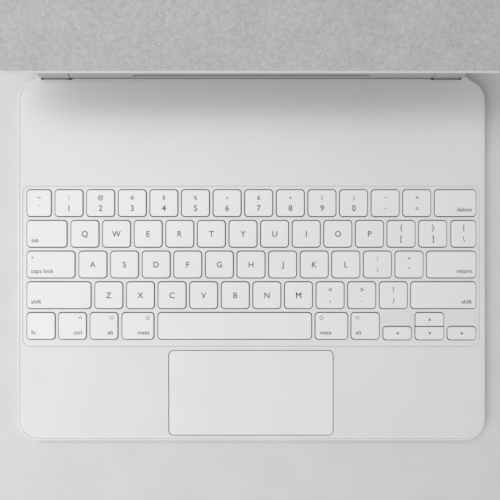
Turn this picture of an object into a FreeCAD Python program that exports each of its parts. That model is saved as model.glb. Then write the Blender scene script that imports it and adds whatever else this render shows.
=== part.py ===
import FreeCAD, Part
import Sketcher
import math
import os

# Tablet keyboard case: a keyboard base with a hinged flap that floats a tablet panel above it.
# Frame: +X right, +Y to the hinge side, +Z up, origin at the centre of the base's underside.
# The flap and the panel are drawn folded shut over the base, then placed in the open pose.

V = FreeCAD.Vector
doc = FreeCAD.newDocument("TabletKeyboardCase")

# ---------------------------------------------------------------- driving dimensions
sheet = doc.addObject("Spreadsheet::Sheet", "Dims")
DIMS = [
    ("deck_width", 281.0), ("deck_depth", 217.2), ("deck_corner", 12.8), ("base_height", 6.6),
    ("floor_thick", 1.0), ("rim_wall", 1.2), ("ledge_wall", 2.8), ("plate_thick", 1.2),
    ("seam_gap", 0.08), ("rim_round", 0.5), ("underside_round", 1.6),
    ("key_pitch", 19.0), ("row_pitch", 18.45), ("row_line_height", 16.25), ("key_gap", 0.45),
    ("key_thick", 1.7), ("key_bottom", 5.3), ("key_corner", 1.9), ("key_edge", 0.22),
    ("bezel_width", 274.6), ("bezel_depth", 96.3), ("bezel_corner", 4.5), ("bezel_mid", -3.7),
    ("bezel_top", 6.54), ("bezel_foot", 2.8), ("bezel_web", 1.2), ("bezel_well_width", 271.2),
    ("bezel_well_depth", 92.4), ("opening_corner", 2.2),
    ("back_width", 274.6), ("back_depth", 107.0), ("back_mid", -4.0), ("back_low", 2.0), ("back_thick", 0.8),
    ("sheet_thick", 0.2), ("dome_height", 1.15), ("dome_foot", 3.0), ("dome_head", 1.7),
    ("pad_width", 98.6), ("pad_depth", 50.7), ("pad_mid_x", -0.2), ("pad_mid_y", -79.8), ("pad_low", 5.3),
    ("pad_thick", 1.22), ("pad_corner", 2.9), ("pad_gap", 0.35), ("pad_travel", 0.3),
    ("hinge_y", 114.5), ("hinge_z", 9.0), ("barrel_radius", 5.6), ("barrel_half", 108.0),
    ("knuckle_inner", 108.3), ("knuckle_outer", 126.7), ("shaft_radius", 2.0), ("shaft_play", 0.05),
    ("slot_length", 140.0), ("slot_width", 1.0), ("slot_depth", 0.7),
    ("spine_half", 126.0), ("spine_inner", 7.1), ("spine_mid", 8.1), ("spine_outer", 8.7),
    ("flap_low", 15.7), ("flap_core_low", 16.1), ("flap_skin_low", 17.1), ("cover_top", 17.7),
    ("flap_corner", 14.5), ("flap_length", 82.0), ("fold_z", 16.4),
    ("pin_radius", 0.8), ("pin_play", 0.04), ("knuckle_radius", 1.25), ("fold_groove", 1.6),
    ("fold_span", 264.0), ("fold_gap", 0.3),
    ("panel_low", 13.2), ("panel_core_low", 13.7), ("panel_wall", 1.2), ("panel_corner", 12.0),
    ("panel_step", 15.5), ("panel_core_step", 14.7), ("panel_drop", 58.2), ("panel_rise", 141.1),
    ("flap_lean", 10.0), ("panel_lean", 36.5),
    ("camera_size", 33.0), ("camera_corner", 8.0), ("camera_x", -118.0), ("camera_from_edge", 22.0),
    ("contact_x", 128.0), ("contact_rise", 33.0), ("contact_width", 15.0), ("contact_depth", 5.6),
    ("contact_pin_radius", 0.8), ("contact_pitch", 4.0), ("contact_play", 0.05),
    ("port_width", 8.94), ("port_height", 3.26), ("port_wall", 0.3), ("port_depth", 7.0),
    ("screw_head", 1.4), ("screw_shank", 0.7), ("screw_clear", 0.06),
]
for row, (alias, value) in enumerate(DIMS, start=1):
    sheet.set("A%d" % row, alias.replace("_", " "))
    sheet.set("B%d" % row, repr(value))
    sheet.setAlias("B%d" % row, alias)
doc.recompute()


def dim(alias):
    return float(getattr(sheet, alias))


PARTS = {}
AXIS_X = V(1, 0, 0)


def keep(obj, label):
    obj.Label = label
    PARTS[label] = obj
    return obj


def bind(obj, **exprs):
    for prop, expr in exprs.items():
        obj.setExpression(prop.replace("__", "."), expr)


# ---------------------------------------------------------------- helpers: Part primitives
def box(name, size, centre, low):
    """Box centred at (cx, cy) standing on z = low; size (x, y, z) worked out from the sheet."""
    b = doc.addObject("Part::Box", name)
    b.Length, b.Width, b.Height = size
    b.Placement.Base = V(centre[0] - size[0] / 2.0, centre[1] - size[1] / 2.0, low)
    return b


def sized_box(name, wx, wy, wz, cx, cy, low):
    """Box whose three sizes and position are expressions of the sheet (strings)."""
    b = doc.addObject("Part::Box", name)
    b.setExpression("Length", wx)
    b.setExpression("Width", wy)
    b.setExpression("Height", wz)
    b.setExpression("Placement.Base.x", "(%s) - (%s) / 2" % (cx, wx))
    b.setExpression("Placement.Base.y", "(%s) - (%s) / 2" % (cy, wy))
    b.setExpression("Placement.Base.z", low)
    return b


def edges_where(shape, test):
    return [i for i, e in enumerate(shape.Edges, start=1) if test(e)]


def is_vertical(e):
    a, b = e.Vertexes[0].Point, e.Vertexes[-1].Point
    return abs(a.x - b.x) < 1e-6 and abs(a.y - b.y) < 1e-6 and abs(a.z - b.z) > 1e-6


def at_height(z):
    return lambda e: all(abs(v.Point.z - z) < 1e-6 for v in e.Vertexes)


def fillet(name, base, radius, test):
    doc.recompute()
    f = doc.addObject("Part::Fillet", name)
    f.Base = base
    f.Edges = [(i, radius, radius) for i in edges_where(base.Shape, test)]
    return f


def round_box(name, wx, wy, wz, cx, cy, low, radius):
    b = sized_box(name + "_block", wx, wy, wz, cx, cy, low)
    return fillet(name, b, radius, is_vertical)


def cylinder_x(name, radius, length, x, y, z):
    """Cylinder along +X from x; all expressions."""
    c = doc.addObject("Part::Cylinder", name)
    c.Placement = FreeCAD.Placement(V(0, 0, 0), FreeCAD.Rotation(V(0, 1, 0), 90))
    c.setExpression("Radius", radius)
    c.setExpression("Height", length)
    c.setExpression("Placement.Base.x", x)
    c.setExpression("Placement.Base.y", y)
    c.setExpression("Placement.Base.z", z)
    return c


def cylinder_z(name, radius, height, x, y, z):
    c = doc.addObject("Part::Cylinder", name)
    c.setExpression("Radius", radius)
    c.setExpression("Height", height)
    c.setExpression("Placement.Base.x", x)
    c.setExpression("Placement.Base.y", y)
    c.setExpression("Placement.Base.z", z)
    return c


def fuse(name, items):
    f = doc.addObject("Part::MultiFuse", name)
    f.Shapes = items
    return f


def cut(name, base, tool):
    c = doc.addObject("Part::Cut", name)
    c.Base, c.Tool = base, tool
    return c


def group(name, items):
    c = doc.addObject("Part::Compound", name)
    c.Links = items
    return c


# ---------------------------------------------------------------- helpers: PartDesign
def body_named(name):
    return doc.addObject("PartDesign::Body", name)


def plane(body, role):
    return [f for f in body.Origin.OriginFeatures if f.Role == role][0]


def rect_sketch(body, name, role, wx, wy, offset=(None, None, None)):
    """Rectangle centred on the sketch origin, its two sizes bound to the sheet."""
    sk = body.newObject("Sketcher::SketchObject", name)
    sk.AttachmentSupport = [(plane(body, role), "")]
    sk.MapMode = "FlatFace"
    p = [V(-10, -5, 0), V(10, -5, 0), V(10, 5, 0), V(-10, 5, 0)]
    sk.addGeometry([Part.LineSegment(p[i], p[(i + 1) % 4]) for i in range(4)], False)
    C = Sketcher.Constraint
    for i in range(4):
        sk.addConstraint(C("Coincident", i, 2, (i + 1) % 4, 1))
    sk.addConstraint([C("Horizontal", 0), C("Horizontal", 2), C("Vertical", 1), C("Vertical", 3)])
    sk.addConstraint(C("Symmetric", 0, 1, 1, 2, -1, 1))
    a = sk.addConstraint(C("Distance", 0, 20.0))
    b = sk.addConstraint(C("Distance", 1, 10.0))
    sk.renameConstraint(a, "wide")
    sk.renameConstraint(b, "deep")
    sk.setExpression("Constraints.wide", wx)
    sk.setExpression("Constraints.deep", wy)
    for axis, expr in zip("xyz", offset):
        if expr:
            sk.setExpression("AttachmentOffset.Base." + axis, expr)
    return sk


def circle_sketch(body, name, role, radius, offset=(None, None, None)):
    sk = body.newObject("Sketcher::SketchObject", name)
    sk.AttachmentSupport = [(plane(body, role), "")]
    sk.MapMode = "FlatFace"
    sk.addGeometry(Part.Circle(V(0, 0, 0), V(0, 0, 1), 3.0), False)
    sk.addConstraint(Sketcher.Constraint("Coincident", 0, 3, -1, 1))
    r = sk.addConstraint(Sketcher.Constraint("Radius", 0, 3.0))
    sk.renameConstraint(r, "radius_of")
    sk.setExpression("Constraints.radius_of", radius)
    for axis, expr in zip("xyz", offset):
        if expr:
            sk.setExpression("AttachmentOffset.Base." + axis, expr)
    return sk


def pad(body, name, sketch, length, symmetric=False):
    p = body.newObject("PartDesign::Pad", name)
    p.Profile = sketch
    p.setExpression("Length", length)
    if symmetric:
        p.SideType = "Symmetric"
    doc.recompute()
    return p


def pocket(body, name, sketch, length, reverse=False, symmetric=False):
    before = body.Shape.Volume
    p = body.newObject("PartDesign::Pocket", name)
    p.Profile = sketch
    p.setExpression("Length", length)
    p.Reversed = reverse
    if symmetric:
        p.SideType = "Symmetric"
    doc.recompute()
    if not body.Shape.Volume < before - 1e-6:
        raise RuntimeError("pocket cuts nothing: " + name)
    return p


def body_fillet(body, name, radius, test):
    base = body.Tip
    f = body.newObject("PartDesign::Fillet", name)
    f.Base = (base, ["Edge%d" % i for i in edges_where(base.Shape, test)])
    f.setExpression("Radius", radius)
    doc.recompute()
    return f


# ================================================================ base
HALF_DEPTH = dim("deck_depth") / 2.0
BASE_TOP = dim("base_height")
FIELD_LEFT = -134.9          # left gap line of the key field
ROW_TOP = [42.4 - i * dim("row_pitch") for i in range(5)]

# ---- base shell: tray with a stepped pocket, bosses and rear windows for the hinge arms
shell = body_named("ShellTray")
pad(shell, "ShellPad", rect_sketch(shell, "ShellPlan", "XY_Plane", "Dims.deck_width", "Dims.deck_depth"),
    "Dims.base_height")
body_fillet(shell, "ShellCorners", "Dims.deck_corner", is_vertical)
body_fillet(shell, "ShellTopEdge", "Dims.rim_round", at_height(BASE_TOP))
body_fillet(shell, "ShellBottomEdge", "Dims.underside_round", at_height(0.0))
seat = round_box("DeckSeat", "Dims.deck_width - 2 * Dims.rim_wall", "Dims.deck_depth - 2 * Dims.rim_wall",
                 "Dims.plate_thick + 1", "0", "0", "Dims.base_height - Dims.plate_thick",
                 dim("deck_corner") - dim("rim_wall"))
well = round_box("ShellWell", "Dims.deck_width - 2 * Dims.ledge_wall", "Dims.deck_depth - 2 * Dims.ledge_wall",
                 "Dims.base_height", "0", "0", "Dims.floor_thick", dim("deck_corner") - dim("ledge_wall"))
windows = [sized_box("ArmWindow%d" % k, "15.6", "10", "3.2", "%g * 117.5" % s, "Dims.deck_depth / 2", "1.9")
           for k, s in enumerate((-1, 1))]
hollow = fuse("ShellHollow", [seat, well] + windows)
tray = cut("ShellOpenTray", shell, hollow)

SCREWS = [(x, y) for y in (47.2, -55.6) for x in (-120.0, -62.0, 62.0, 120.0)]
bosses = [cylinder_z("ScrewBoss%d" % i, "2.2", "Dims.back_low - Dims.floor_thick + 0.2", "%g" % x, "%g" % y,
                     "Dims.floor_thick - 0.2") for i, (x, y) in enumerate(SCREWS)]
BOARD = (-66.0, 76.0, 92.0, 34.0)
board_posts = [cylinder_z("BoardPost%d" % i, "2.0", "1.0", "%g" % x, "%g" % y, "Dims.floor_thick - 0.2")
               for i, (x, y) in enumerate([(BOARD[0] + sx * 43.0, BOARD[1] + sy * 14.0)
                                           for sx in (-1, 1) for sy in (-1, 1)])]
pedestal = sized_box("SwitchPedestal", "16", "12", "1.8", "Dims.pad_mid_x", "Dims.pad_mid_y - 14",
                     "Dims.floor_thick - 0.2")
ribs = [sized_box("ShellRib%d" % i, "1.2", "42", "4.6", "%g" % x, "-81.5", "Dims.floor_thick - 0.2")
        for i, x in enumerate((-58.0, 58.0))]
posts = fuse("ShellPosts", bosses + board_posts + [pedestal] + ribs)
tray_posts = fuse("ShellWithPosts", [tray, posts])
boss_holes = fuse("BossHoles", [cylinder_z("BossHole%d" % i, "Dims.screw_shank + Dims.screw_clear", "2",
                                           "%g" % x, "%g" % y, "Dims.floor_thick + 0.1")
                                for i, (x, y) in enumerate(SCREWS)])
keep(cut("BaseShell", tray_posts, boss_holes), "base_shell")

# ---- deck top: plate that drops into the seat, open at the key bezel and the trackpad
deck = body_named("DeckPlate")
pad(deck, "DeckPad", rect_sketch(deck, "DeckPlan", "XY_Plane", "Dims.deck_width - 2 * Dims.rim_wall - 2 * Dims.seam_gap",
                                 "Dims.deck_depth - 2 * Dims.rim_wall - 2 * Dims.seam_gap",
                                 (None, None, "Dims.base_height - Dims.plate_thick")), "Dims.plate_thick")
sheet.set("A%d" % (len(DIMS) + 1), "deck plate corner")
sheet.set("B%d" % (len(DIMS) + 1), "=deck_corner - rim_wall - seam_gap")
sheet.setAlias("B%d" % (len(DIMS) + 1), "deck_plate_corner")
doc.recompute()
body_fillet(deck, "DeckCorners", "Dims.deck_plate_corner", is_vertical)
pocket(deck, "BezelOpening", rect_sketch(deck, "BezelOpeningPlan", "XY_Plane",
                                         "Dims.bezel_width + 2 * Dims.seam_gap", "Dims.bezel_depth + 2 * Dims.seam_gap",
                                         (None, "Dims.bezel_mid", "Dims.base_height")), "Dims.plate_thick * 2")
body_fillet(deck, "BezelOpeningCorners", "Dims.bezel_corner",
            lambda e: is_vertical(e) and abs(abs(e.Vertexes[0].Point.x) - dim("bezel_width") / 2 - dim("seam_gap")) < 1e-4
            and abs(e.Vertexes[0].Point.y) < 60)
pocket(deck, "PadOpening", rect_sketch(deck, "PadOpeningPlan", "XY_Plane",
                                       "Dims.pad_width + 2 * Dims.pad_gap", "Dims.pad_depth + 2 * Dims.pad_gap",
                                       ("Dims.pad_mid_x", "Dims.pad_mid_y", "Dims.base_height")), "Dims.plate_thick * 2")
body_fillet(deck, "PadOpeningCorners", "Dims.pad_corner + Dims.pad_gap",
            lambda e: is_vertical(e) and abs(e.Vertexes[0].Point.x) < 60)
keep(deck, "deck_top")

# ---- trackpad plate and its switch
padbody = body_named("TrackpadSlab")
pad(padbody, "TrackpadPad", rect_sketch(padbody, "TrackpadPlan", "XY_Plane", "Dims.pad_width", "Dims.pad_depth",
                                        ("Dims.pad_mid_x", "Dims.pad_mid_y", "Dims.pad_low")), "Dims.pad_thick")
body_fillet(padbody, "TrackpadCorners", "Dims.pad_corner", is_vertical)
body_fillet(padbody, "TrackpadEdge", "Dims.key_edge", at_height(dim("pad_low") + dim("pad_thick")))
keep(padbody, "trackpad_plate")
switch_can = sized_box("SwitchCan", "6", "6", "1.7", "Dims.pad_mid_x", "Dims.pad_mid_y - 14", "2.6")
switch_dome = cylinder_z("SwitchDome", "1.5", "0.6", "Dims.pad_mid_x", "Dims.pad_mid_y - 14", "4.3")
keep(fuse("TrackpadSwitch", [switch_can, switch_dome]), "trackpad_switch")

# ---- keys: name, x of left gap line, x of right gap line (from the field's left line), top and bottom offset
def run(names, start, last):
    out = []
    for i, n in enumerate(names):
        a = start + i * dim("key_pitch")
        out.append((n, a, a + 16.9))
    return out


ROWS = [
    [("grave", 0.0, 14.8)] + run(["1", "2", "3", "4", "5", "6", "7", "8", "9", "0", "minus", "equals"], 16.9, 0)
    + [("delete", 244.95, 269.9)],
    [("tab", 0.0, 24.2)] + run(list("qwertyuiop") + ["bracket_left", "bracket_right"], 26.45, 0)
    + [("backslash", 254.85, 269.9)],
    [("caps_lock", 0.0, 29.0)] + run(list("asdfghjkl") + ["semicolon", "quote"], 31.25, 0) + [("return", 240.2, 269.9)],
    [("shift_left", 0.0, 38.6)] + run(list("zxcvbnm") + ["comma", "period", "slash"], 40.8, 0)
    + [("shift_right", 230.7, 269.9)],
    [("function", 0.0, 17.1), ("control", 18.9, 35.9), ("option_left", 37.9, 54.8), ("command_left", 57.1, 76.4),
     ("space", 78.7, 171.2), ("command_right", 173.2, 192.9), ("option_right", 194.8, 211.9)],
]
ARROWS = [("arrow_left", 214.0, 231.2, "low"), ("arrow_down", 233.3, 250.6, "low"),
          ("arrow_right", 252.6, 269.9, "low"), ("arrow_up", 233.3, 250.6, "high")]
KEYS = []
for r, row in enumerate(ROWS):
    for name, a, b in row:
        KEYS.append((name, FIELD_LEFT + a, FIELD_LEFT + b, ROW_TOP[r], ROW_TOP[r] - dim("row_line_height")))
ARROW_SPLIT = ROW_TOP[4] - 8.4
ARROW_FOOT = ROW_TOP[4] - 16.6
for name, a, b, where in ARROWS:
    top, low = (ROW_TOP[4], ARROW_SPLIT) if where == "high" else (ARROW_SPLIT, ARROW_FOOT)
    KEYS.append((name, FIELD_LEFT + a, FIELD_LEFT + b, top, low))

caps, openings, domes, frames = {}, [], [], []
for name, xa, xb, yt, yb in KEYS:
    cx, cy, lw, lh = (xa + xb) / 2.0, (yt + yb) / 2.0, xb - xa, yt - yb
    slab = round_box("Cap_" + name, "%.4f - Dims.key_gap" % lw, "%.4f - Dims.key_gap" % lh, "Dims.key_thick",
                     "%.4f" % cx, "%.4f" % cy, "Dims.key_bottom", dim("key_corner"))
    caps[name] = fillet("Key_" + name, slab, dim("key_edge"), at_height(dim("key_bottom") + dim("key_thick")))
    if name == "arrow_up":
        yb_open = ARROW_FOOT
        openings.append(round_box("Gap_" + name, "%.4f + Dims.key_gap" % lw, "%.4f + Dims.key_gap" % (yt - yb_open),
                                  "3", "%.4f" % cx, "%.4f" % ((yt + yb_open) / 2.0), "Dims.bezel_foot + 2",
                                  dim("opening_corner")))
    elif name != "arrow_down":
        openings.append(round_box("Gap_" + name, "%.4f + Dims.key_gap" % lw, "%.4f + Dims.key_gap" % lh, "3",
                                  "%.4f" % cx, "%.4f" % cy, "Dims.bezel_foot + 2", dim("opening_corner")))
    small = name.startswith("arrow")
    d = doc.addObject("Part::Cone", "Dome_" + name)
    d.setExpression("Radius1", "Dims.dome_foot" + (" * 0.6" if small else ""))
    d.setExpression("Radius2", "Dims.dome_head" + (" * 0.6" if small else ""))
    d.setExpression("Height", "Dims.dome_height")
    d.Placement.Base = V(cx, cy, dim("back_low") + dim("back_thick") + dim("sheet_thick"))
    domes.append(d)
    fw = min(lw - 3.0, 12.0) if lw < 30 else lw - 14.0
    fh = 5.8 if small else 10.0
    hole_x, hole_y = (4.2, 4.2) if small else (min(fw - 3.0, 7.2), 7.2)
    if lw >= 30:
        hole_x = fw - 5.0
    ring = cut("Scissor_" + name,
               sized_box("ScissorOut_" + name, "%.4f" % fw, "%.4f" % fh, "0.9", "%.4f" % cx, "%.4f" % cy, "3.12"),
               sized_box("ScissorIn_" + name, "%.4f" % hole_x, "%.4f" % hole_y, "2", "%.4f" % cx, "%.4f" % cy, "2.6"))
    frames.append(ring)

# ---- key bezel: a framed lattice, its rim standing on the backplate
bezel_block = round_box("BezelBlock", "Dims.bezel_width", "Dims.bezel_depth", "Dims.bezel_top - Dims.bezel_foot",
                        "0", "Dims.bezel_mid", "Dims.bezel_foot", dim("bezel_corner"))
bezel_well = sized_box("BezelWell", "Dims.bezel_well_width", "Dims.bezel_well_depth",
                       "Dims.bezel_top - Dims.bezel_foot - Dims.bezel_web + 1", "0.05", "-2.8", "Dims.bezel_foot - 1")
all_openings = fuse("KeyOpenings", openings)
bezel_tools = fuse("BezelTools", [bezel_well, all_openings])
keep(cut("KeyBezel", bezel_block, bezel_tools), "key_bezel")

# ---- backplate, membrane with domes, scissor frames
back_block = round_box("BackBlock", "Dims.back_width", "Dims.back_depth", "Dims.back_thick", "0", "Dims.back_mid",
                       "Dims.back_low", 4.0)
back_holes = fuse("BackHoles", [cylinder_z("BackHole%d" % i, "Dims.screw_shank + 0.2", "3", "%g" % x, "%g" % y, "1.2")
                                for i, (x, y) in enumerate(SCREWS)])
keep(cut("KeyBackplate", back_block, back_holes), "key_backplate")
membrane = sized_box("Membrane", "269.6", "91.4", "Dims.sheet_thick", "0.05", "-2.8", "Dims.back_low + Dims.back_thick")
keep(fuse("DomeSheet", [membrane] + domes), "dome_sheet")
keep(group("ScissorFrames", frames), "scissor_frames")
screws = []
for i, (x, y) in enumerate(SCREWS):
    screws.append(fuse("BackScrew%d" % i, [
        cylinder_z("ScrewHead%d" % i, "Dims.screw_head", "0.6", "%g" % x, "%g" % y, "Dims.back_low + Dims.back_thick"),
        cylinder_z("ScrewShank%d" % i, "Dims.screw_shank", "1.6", "%g" % x, "%g" % y, "Dims.back_low + Dims.back_thick - 1.6")]))
keep(group("BackplateScrews", screws), "backplate_screws")

# ---- logic board with chips
board = sized_box("Board", "%g" % BOARD[2], "%g" % BOARD[3], "0.8", "%g" % BOARD[0], "%g" % BOARD[1], "1.8")
chips = [sized_box("Chip%d" % i, "%g" % w, "%g" % d, "%g" % (hh + 0.1), "%g" % x, "%g" % y, "2.5")
         for i, (x, y, w, d, hh) in enumerate([(-88, 80, 12, 12, 1.0), (-66, 82, 8, 8, 0.9), (-48, 72, 10, 6, 1.1),
                                               (-84, 66, 6, 4, 0.7), (-30, 84, 7, 5, 1.2), (-30, 70, 9, 9, 0.9)])]
keep(fuse("LogicBoard", [board] + chips), "logic_board")

# ================================================================ hinge at the rear of the deck
YH, ZH = dim("hinge_y"), dim("hinge_z")


def yz_prism(name, points, x0, x1):
    """Solid of a closed YZ polygon drawn from x0 to x1."""
    f = doc.addObject("Part::Feature", name)
    w = Part.makePolygon([V(x0, y, z) for y, z in points] + [V(x0, points[0][0], points[0][1])])
    f.Shape = Part.Face(w).extrude(V(x1 - x0, 0, 0))
    return f


KI, KO = dim("knuckle_inner"), dim("knuckle_outer")
ARM = [(98.0, 2.0), (109.2, 2.0), (YH, ZH - dim("barrel_radius") + 0.05), (YH, ZH), (110.2, ZH - 1.6),
       (109.2, 5.0), (98.0, 5.0)]
knuckle_solids = []
for side, tag in ((-1, "Left"), (1, "Right")):
    round_part = cylinder_x("KnuckleRound" + tag, "Dims.barrel_radius", "Dims.knuckle_outer - Dims.knuckle_inner",
                            "-Dims.knuckle_outer" if side < 0 else "Dims.knuckle_inner", "Dims.hinge_y", "Dims.hinge_z")
    eased = fillet("KnuckleEased" + tag, round_part, 0.5,
                   lambda e: isinstance(e.Curve, Part.Circle) and abs(abs(e.Vertexes[0].Point.x) - KO) < 1e-6)
    arm = yz_prism("KnuckleArm" + tag, ARM, side * 117.5 - 7.5, side * 117.5 + 7.5)
    solid = fuse("KnuckleBody" + tag, [eased, arm])
    bore = cylinder_x("KnuckleBore" + tag, "Dims.shaft_radius + Dims.shaft_play", "9.2",
                      "-Dims.knuckle_inner - 9" if side < 0 else "Dims.knuckle_inner - 0.2", "Dims.hinge_y", "Dims.hinge_z")
    knuckle_solids.append((solid, bore))


def stadium_x(name, width, height, x, length):
    """Rounded slot shape lying along X, wide in Y."""
    b = sized_box(name + "_mid", length, "(%s) - (%s)" % (width, height), height, "(%s) + (%s) / 2" % (x, length),
                  "Dims.hinge_y", "Dims.hinge_z - (%s) / 2" % height)
    ends = [cylinder_x(name + "_end%d" % i, "(%s) / 2" % height, length, x,
                       "Dims.hinge_y + %d * ((%s) - (%s)) / 2" % (s, width, height), "Dims.hinge_z")
            for i, s in enumerate((-1, 1))]
    return fuse(name, [b] + ends)


port_room = stadium_x("PortRoom", "Dims.port_width", "Dims.port_height", "-Dims.knuckle_outer - 1", "Dims.port_depth + 1")
left_tools = fuse("KnuckleToolsLeft", [knuckle_solids[0][1], port_room])
left = cut("KnuckleLeft", knuckle_solids[0][0], left_tools)
right = cut("KnuckleRight", knuckle_solids[1][0], knuckle_solids[1][1])
keep(group("HingeKnuckles", [left, right]), "hinge_knuckles")
port_outer = stadium_x("PortOuter", "Dims.port_width - 0.04", "Dims.port_height - 0.04", "-Dims.knuckle_outer + 0.15",
                       "Dims.port_depth - 0.15")
port_inner = stadium_x("PortInner", "Dims.port_width - 2 * Dims.port_wall", "Dims.port_height - 2 * Dims.port_wall",
                       "-Dims.knuckle_outer - 0.5", "Dims.port_depth")
port_can = cut("PortCan", port_outer, port_inner)
port_tongue = sized_box("PortTongue", "5.6", "6.69", "0.7", "-Dims.knuckle_outer + Dims.port_depth - 2.9", "Dims.hinge_y",
                        "Dims.hinge_z - 0.35")
keep(fuse("ChargingSocket", [port_can, port_tongue]), "charging_socket")

# ================================================================ cover, drawn shut
# swing: flap from shut to open about the hinge axis; the panel also folds about the pin
SWING = -(90.0 + dim("flap_lean"))
PANEL_TURN = -(90.0 + dim("panel_lean"))
PIN_SHUT = V(0, YH - dim("flap_length"), dim("fold_z"))
HINGE = V(0, YH, ZH)


def turned(point, centre, degrees):
    return centre + FreeCAD.Rotation(AXIS_X, degrees).multVec(point - centre)


PIN_OPEN = turned(PIN_SHUT, HINGE, SWING)


def open_placement(pivot_shut, pivot_open, degrees):
    rot = FreeCAD.Rotation(AXIS_X, degrees)
    return FreeCAD.Placement(pivot_open - rot.multVec(pivot_shut), rot)


FLAP_PLACE = open_placement(HINGE, HINGE, SWING)
PANEL_PLACE = open_placement(PIN_SHUT, PIN_OPEN, PANEL_TURN)
YP, ZP = PIN_SHUT.y, PIN_SHUT.z


def place(obj, placement):
    """Move a finished piece, drawn shut, into the open pose."""
    obj.Placement = placement.multiply(obj.Placement)
    return obj


# ---- hinge barrel: round bar between the knuckles with a saddle that carries the flap
bar = body_named("BarrelBar")
pad(bar, "BarrelPad", circle_sketch(bar, "BarrelRound", "YZ_Plane", "Dims.barrel_radius", ("Dims.hinge_y", "Dims.hinge_z", None)),
    "2 * Dims.barrel_half", symmetric=True)
saddle = sized_box("Saddle", "2 * Dims.barrel_half", "4.6", "Dims.flap_core_low - Dims.hinge_z", "0", "Dims.hinge_y - 2.3",
                   "Dims.hinge_z")
bar_saddle = fuse("BarrelSaddle", [bar, saddle])
bores = [cylinder_x("BarrelBore%d" % k, "Dims.shaft_radius + 0.02", "12.5",
                    "-Dims.barrel_half - 0.5" if s < 0 else "Dims.barrel_half - 12", "Dims.hinge_y", "Dims.hinge_z")
         for k, s in enumerate((-1, 1))]
# shallow slot along the barrel: low on the front side when open (156 degrees), so 156 + swing when shut
slot_dir = math.radians(156.0 - SWING)
slot_r = dim("barrel_radius") - dim("slot_depth")
slot = doc.addObject("Part::Box", "BarrelSlot")
bind(slot, Length="Dims.slot_length", Width="3", Height="Dims.slot_width")
slot.Placement = FreeCAD.Placement(V(0, YH, ZH), FreeCAD.Rotation(AXIS_X, math.degrees(slot_dir))).multiply(
    FreeCAD.Placement(V(-dim("slot_length") / 2, slot_r, -dim("slot_width") / 2), FreeCAD.Rotation()))
barrel = cut("HingeBarrel", bar_saddle, fuse("BarrelTools", bores + [slot]))
keep(place(barrel, FLAP_PLACE), "hinge_barrel")
shafts = group("HingeShafts", [
    cylinder_x("ShaftLeft", "Dims.shaft_radius", "20.2", "-Dims.barrel_half - 8.4", "Dims.hinge_y", "Dims.hinge_z"),
    cylinder_x("ShaftRight", "Dims.shaft_radius", "20.2", "Dims.barrel_half - 11.8", "Dims.hinge_y", "Dims.hinge_z")])
keep(place(shafts, FLAP_PLACE), "hinge_shafts")


# ---- flap layers: flat sheet with two rounded rear corners, and a quarter wrap round the spine
def flap_sheet(name, low, high, inset, rear, front):
    wx = "Dims.deck_width - 2 * %g" % inset
    b = sized_box(name + "_flat", wx, "%.4f" % (rear - front), "(%s) - (%s)" % (high, low), "0",
                  "%.4f" % ((rear + front) / 2.0), low)
    return fillet(name, b, dim("flap_corner") - inset,
                  lambda e: is_vertical(e) and abs(e.Vertexes[0].Point.y - rear) < 1e-6)


def wrap(name, r_in, r_out, half):
    """Quarter tube behind the hinge, from straight up to straight back."""
    c = doc.addObject("Part::Cylinder", name + "_outer")
    c.Placement = FreeCAD.Placement(V(-half, YH, ZH), FreeCAD.Rotation(V(0, 1, 0), 90))
    bind(c, Radius="Dims." + r_out, Height="%g" % (2 * half))
    d = doc.addObject("Part::Cylinder", name + "_inner")
    d.Placement = FreeCAD.Placement(V(-half - 1, YH, ZH), FreeCAD.Rotation(V(0, 1, 0), 90))
    bind(d, Radius="Dims." + r_in, Height="%g" % (2 * half + 2))
    tube = cut(name + "_tube", c, d)
    quarter = box(name + "_quarter", (2 * half + 4, 20.0, 20.0), (0, YH + 10.0), ZH)
    q = doc.addObject("Part::Common", name)
    q.Base, q.Tool = tube, quarter
    return q


SEG = 12
SPAN = dim("fold_span")
STEP = SPAN / SEG
flap_segments = [(-SPAN / 2 + i * STEP, -SPAN / 2 + (i + 1) * STEP) for i in range(0, SEG, 2)]
panel_segments = [(-SPAN / 2 + i * STEP, -SPAN / 2 + (i + 1) * STEP) for i in range(1, SEG, 2)]


def knuckle_row(name, segments, web_front, web_back, web_low, web_high):
    out = []
    g = dim("fold_gap") / 2.0
    for i, (a, b) in enumerate(segments):
        out.append(cylinder_x("%sRound%d" % (name, i), "Dims.knuckle_radius", "%.4f - Dims.fold_gap" % (b - a),
                              "%.4f + Dims.fold_gap / 2" % a, "Dims.hinge_y - Dims.flap_length", "Dims.fold_z"))
        out.append(box("%sWeb%d" % (name, i), (b - a - 2 * g, web_back - web_front, web_high - web_low),
                       ((a + b) / 2.0, (web_back + web_front) / 2.0), web_low))
    return out


FLAP_FRONT = YP + dim("fold_groove")
core_flat = flap_sheet("FlapCoreFlat", "Dims.flap_core_low", "Dims.flap_skin_low", 0.4, YH, FLAP_FRONT)
core_wrap = wrap("FlapCoreWrap", "spine_inner", "spine_mid", dim("spine_half"))
flap_knuckles = knuckle_row("FlapKnuckle", flap_segments, YP, FLAP_FRONT + 0.5, dim("flap_core_low"), dim("flap_skin_low"))
flap_core_solid = fuse("FlapCoreSolid", [core_flat, core_wrap] + flap_knuckles)
flap_bore = cylinder_x("FlapBore", "Dims.pin_radius + Dims.pin_play", "Dims.fold_span + 10", "-Dims.fold_span / 2 - 5",
                       "Dims.hinge_y - Dims.flap_length", "Dims.fold_z")
keep(place(cut("FlapCore", flap_core_solid, flap_bore), FLAP_PLACE), "flap_core")
skin_flat = flap_sheet("FlapSkinFlat", "Dims.flap_skin_low", "Dims.cover_top", 0.0, YH, FLAP_FRONT)
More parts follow.
